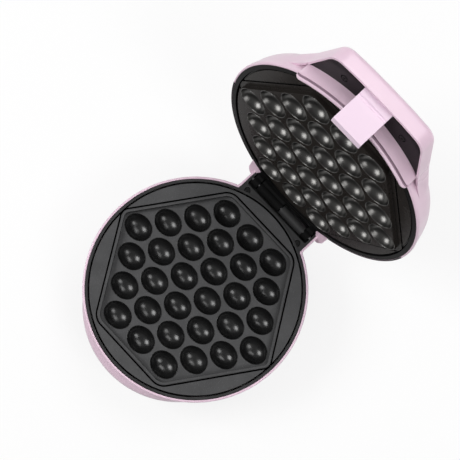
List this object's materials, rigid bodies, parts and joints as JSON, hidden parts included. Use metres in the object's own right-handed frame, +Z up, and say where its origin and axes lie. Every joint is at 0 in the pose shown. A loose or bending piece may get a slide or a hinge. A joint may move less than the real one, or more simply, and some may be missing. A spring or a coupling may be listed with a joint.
{
  "type": "bubble waffle maker",
  "caption": "Countertop hinged waffle maker with a round pink case, dark hexagonal plates of egg-shaped cavities and a latch on the front handle, standing open.",
  "frame": {"origin": "on the table, under the middle of the lower plate", "axes": "+Z up, +X along the hinge, +Y from the front of the base to the hinge at the back"},
  "size_m": [0.226, 0.3344, 0.3025],
  "materials": {
    "shell_pink": "smooth satin-gloss moulding",
    "latch_pink": "smooth satin-gloss moulding",
    "cover_grey": "fine matte moulding",
    "foot_rubber": "matte",
    "screw_steel": "plain zinc-like steel",
    "screw_black": "blackened steel",
    "trim_black": "satin black moulding",
    "coated_plate": "dark non-stick coating, satin with fine speckle",
    "heater_steel": "heat-dulled tube",
    "reflector_sheet": "bright rolled sheet",
    "terminal_white": "matte",
    "panel_black": "high gloss",
    "lens_red": "clear tinted lens",
    "lens_green": "clear tinted lens",
    "lamp_glass": "clear glass"
  },
  "bodies": {
    "base": {"base_shell": "shell_pink", "base_bottom_cover": "cover_grey", "base_feet": "foot_rubber", "bottom_cover_screws": "screw_steel", "base_trim_ring": "trim_black", "trim_screws": "screw_black", "lower_plate": "coated_plate", "lower_plate_screws": "screw_steel", "lower_heater": "heater_steel", "lower_heater_terminals": "screw_steel", "lower_reflector": "reflector_sheet", "lower_reflector_screws": "screw_steel", "thermostat": "reflector_sheet", "terminal_block": "terminal_white", "cord_gland": "foot_rubber", "hinge_pin": "screw_steel", "base_hinge_barrel": "trim_black"},
    "lid": {"lid_shell": "shell_pink", "lid_trim_ring": "trim_black", "upper_plate": "coated_plate", "upper_plate_screws": "screw_steel", "upper_heater": "heater_steel", "upper_heater_terminals": "screw_steel", "upper_reflector": "reflector_sheet", "upper_reflector_screws": "screw_steel", "thermal_fuse": "reflector_sheet", "handle_cover": "panel_black", "handle_screws": "screw_black", "power_lamp_lens": "lens_red", "ready_lamp_lens": "lens_green", "indicator_lamps": "lamp_glass", "latch_pin": "screw_steel"},
    "latch": {"latch": "latch_pink"}
  },
  "joints": [
    {"name": "lid_hinge", "type": "hinge", "parent": "base", "child": "lid", "pos_m": [0, 0.1185, 0.056], "axis": [1, 0, 0], "range_deg": [0, 104.93]},
    {"name": "latch_hinge", "type": "hinge", "parent": "lid", "child": "latch", "pos_m": [0, 0.1998, 0.29492], "axis": [-1, 0, 0], "range_deg": [0, 20]}
  ]
}
